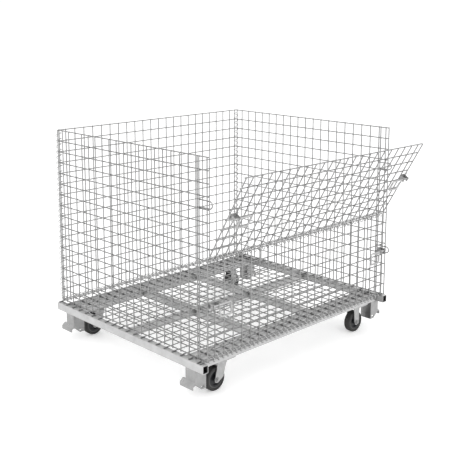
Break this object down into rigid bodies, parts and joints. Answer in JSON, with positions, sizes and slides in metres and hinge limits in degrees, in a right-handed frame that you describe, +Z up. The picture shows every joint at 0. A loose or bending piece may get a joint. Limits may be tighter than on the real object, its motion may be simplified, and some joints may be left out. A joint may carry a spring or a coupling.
{
  "type": "wire mesh container",
  "caption": "Foldable welded-wire mesh storage container with an open drop gate, coil-spring hinges, rod latches, stacking feet, and swivel and rigid casters.",
  "frame": {"origin": "on the floor under the middle of the two side tubes", "axes": "+X to the right along the front and back walls, +Y from the gate to the back wall, +Z up"},
  "size_m": [1.224, 1.2045, 0.9815],
  "materials": {
    "zinc_steel": "bright zinc plated",
    "spring_steel": "zinc plated spring wire",
    "caster_steel": "zinc plated pressed steel",
    "tyre_rubber": "matt",
    "wheel_plastic": "satin moulded"
  },
  "bodies": {
    "base": {"side_tubes": "zinc_steel", "end_channels": "zinc_steel", "middle_beam": "zinc_steel", "short_beams": "zinc_steel", "floor_cross_wires": "zinc_steel", "floor_long_wires": "zinc_steel", "feet": "zinc_steel", "swivel_plates": "caster_steel", "rigid_forks": "caster_steel", "rigid_axles": "caster_steel", "front_floor_coil": "spring_steel", "back_floor_coil": "spring_steel"},
    "swivel_front": {"swivel_fork_front": "caster_steel", "swivel_axle_front": "caster_steel"},
    "swivel_back": {"swivel_fork_back": "caster_steel", "swivel_axle_back": "caster_steel"},
    "back_panel": {"back_uprights": "zinc_steel", "back_rows": "zinc_steel", "left_corner_coil": "spring_steel", "right_corner_coil": "spring_steel"},
    "left_panel": {"left_uprights": "zinc_steel", "left_rows": "zinc_steel", "left_keepers": "zinc_steel"},
    "right_panel": {"right_uprights": "zinc_steel", "right_rows": "zinc_steel", "right_keepers": "zinc_steel"},
    "lower_front": {"lower_uprights": "zinc_steel", "lower_rows": "zinc_steel", "lower_brackets": "zinc_steel", "gate_coil": "spring_steel"},
    "gate": {"gate_uprights": "zinc_steel", "gate_rows": "zinc_steel", "gate_brackets": "zinc_steel"},
    "wheel_front_left": {"tyre_front_left": "tyre_rubber", "wheel_core_front_left": "wheel_plastic"},
    "wheel_back_left": {"tyre_back_left": "tyre_rubber", "wheel_core_back_left": "wheel_plastic"},
    "wheel_front_right": {"tyre_front_right": "tyre_rubber", "wheel_core_front_right": "wheel_plastic"},
    "wheel_back_right": {"tyre_back_right": "tyre_rubber", "wheel_core_back_right": "wheel_plastic"},
    "lower_bolt_left": {"lower_bolt_left": "zinc_steel"},
    "lower_bolt_right": {"lower_bolt_right": "zinc_steel"},
    "gate_bolt_left": {"gate_bolt_left": "zinc_steel"},
    "gate_bolt_right": {"gate_bolt_right": "zinc_steel"}
  },
  "joints": [
    {"name": "front_caster_swivel", "type": "hinge", "parent": "base", "child": "swivel_front", "pos_m": [-0.43, -0.41, 0.12], "axis": [0, 0, 1], "continuous": true},
    {"name": "back_caster_swivel", "type": "hinge", "parent": "base", "child": "swivel_back", "pos_m": [-0.43, 0.422, 0.12], "axis": [0, 0, 1], "continuous": true},
    {"name": "front_left_wheel_spin", "type": "hinge", "parent": "swivel_front", "child": "wheel_front_left", "pos_m": [-0.459, -0.41, 0.05], "axis": [0, 1, 0], "continuous": true},
    {"name": "back_left_wheel_spin", "type": "hinge", "parent": "swivel_back", "child": "wheel_back_left", "pos_m": [-0.459, 0.422, 0.05], "axis": [0, 1, 0], "continuous": true},
    {"name": "front_right_wheel_spin", "type": "hinge", "parent": "base", "child": "wheel_front_right", "pos_m": [0.459, -0.41, 0.05], "axis": [0, 1, 0], "continuous": true},
    {"name": "back_right_wheel_spin", "type": "hinge", "parent": "base", "child": "wheel_back_right", "pos_m": [0.459, 0.422, 0.05], "axis": [0, 1, 0], "continuous": true},
    {"name": "back_panel_fold", "type": "hinge", "parent": "base", "child": "back_panel", "pos_m": [0, 0.4975, 0.1745], "axis": [-1, 0, 0], "range_deg": [0, 90]},
    {"name": "right_panel_swing", "type": "hinge", "parent": "back_panel", "child": "right_panel", "pos_m": [0.57502, 0.493, 0.5], "axis": [0, 0, 1], "range_deg": [0, 90]},
    {"name": "left_panel_swing", "type": "hinge", "parent": "back_panel", "child": "left_panel", "pos_m": [-0.57502, 0.493, 0.5], "axis": [0, 0, -1], "range_deg": [0, 90]},
    {"name": "lower_front_fold", "type": "hinge", "parent": "base", "child": "lower_front", "pos_m": [0, -0.47875, 0.17375], "axis": [-1, 0, 0], "range_deg": [0, 90]},
    {"name": "gate_drop", "type": "hinge", "parent": "lower_front", "child": "gate", "pos_m": [0, -0.4905, 0.57602], "axis": [1, 0, 0], "range_deg": [-30, 125]},
    {"name": "lower_bolt_left_slide", "type": "slide", "parent": "lower_front", "child": "lower_bolt_left", "axis": [-1, 0, 0], "range_m": [0, 0.028]},
    {"name": "gate_bolt_left_slide", "type": "slide", "parent": "gate", "child": "gate_bolt_left", "axis": [-1, 0, 0], "range_m": [0, 0.028]},
    {"name": "lower_bolt_right_slide", "type": "slide", "parent": "lower_front", "child": "lower_bolt_right", "axis": [1, 0, 0], "range_m": [0, 0.028]},
    {"name": "gate_bolt_right_slide", "type": "slide", "parent": "gate", "child": "gate_bolt_right", "axis": [1, 0, 0], "range_m": [0, 0.028]}
  ]
}
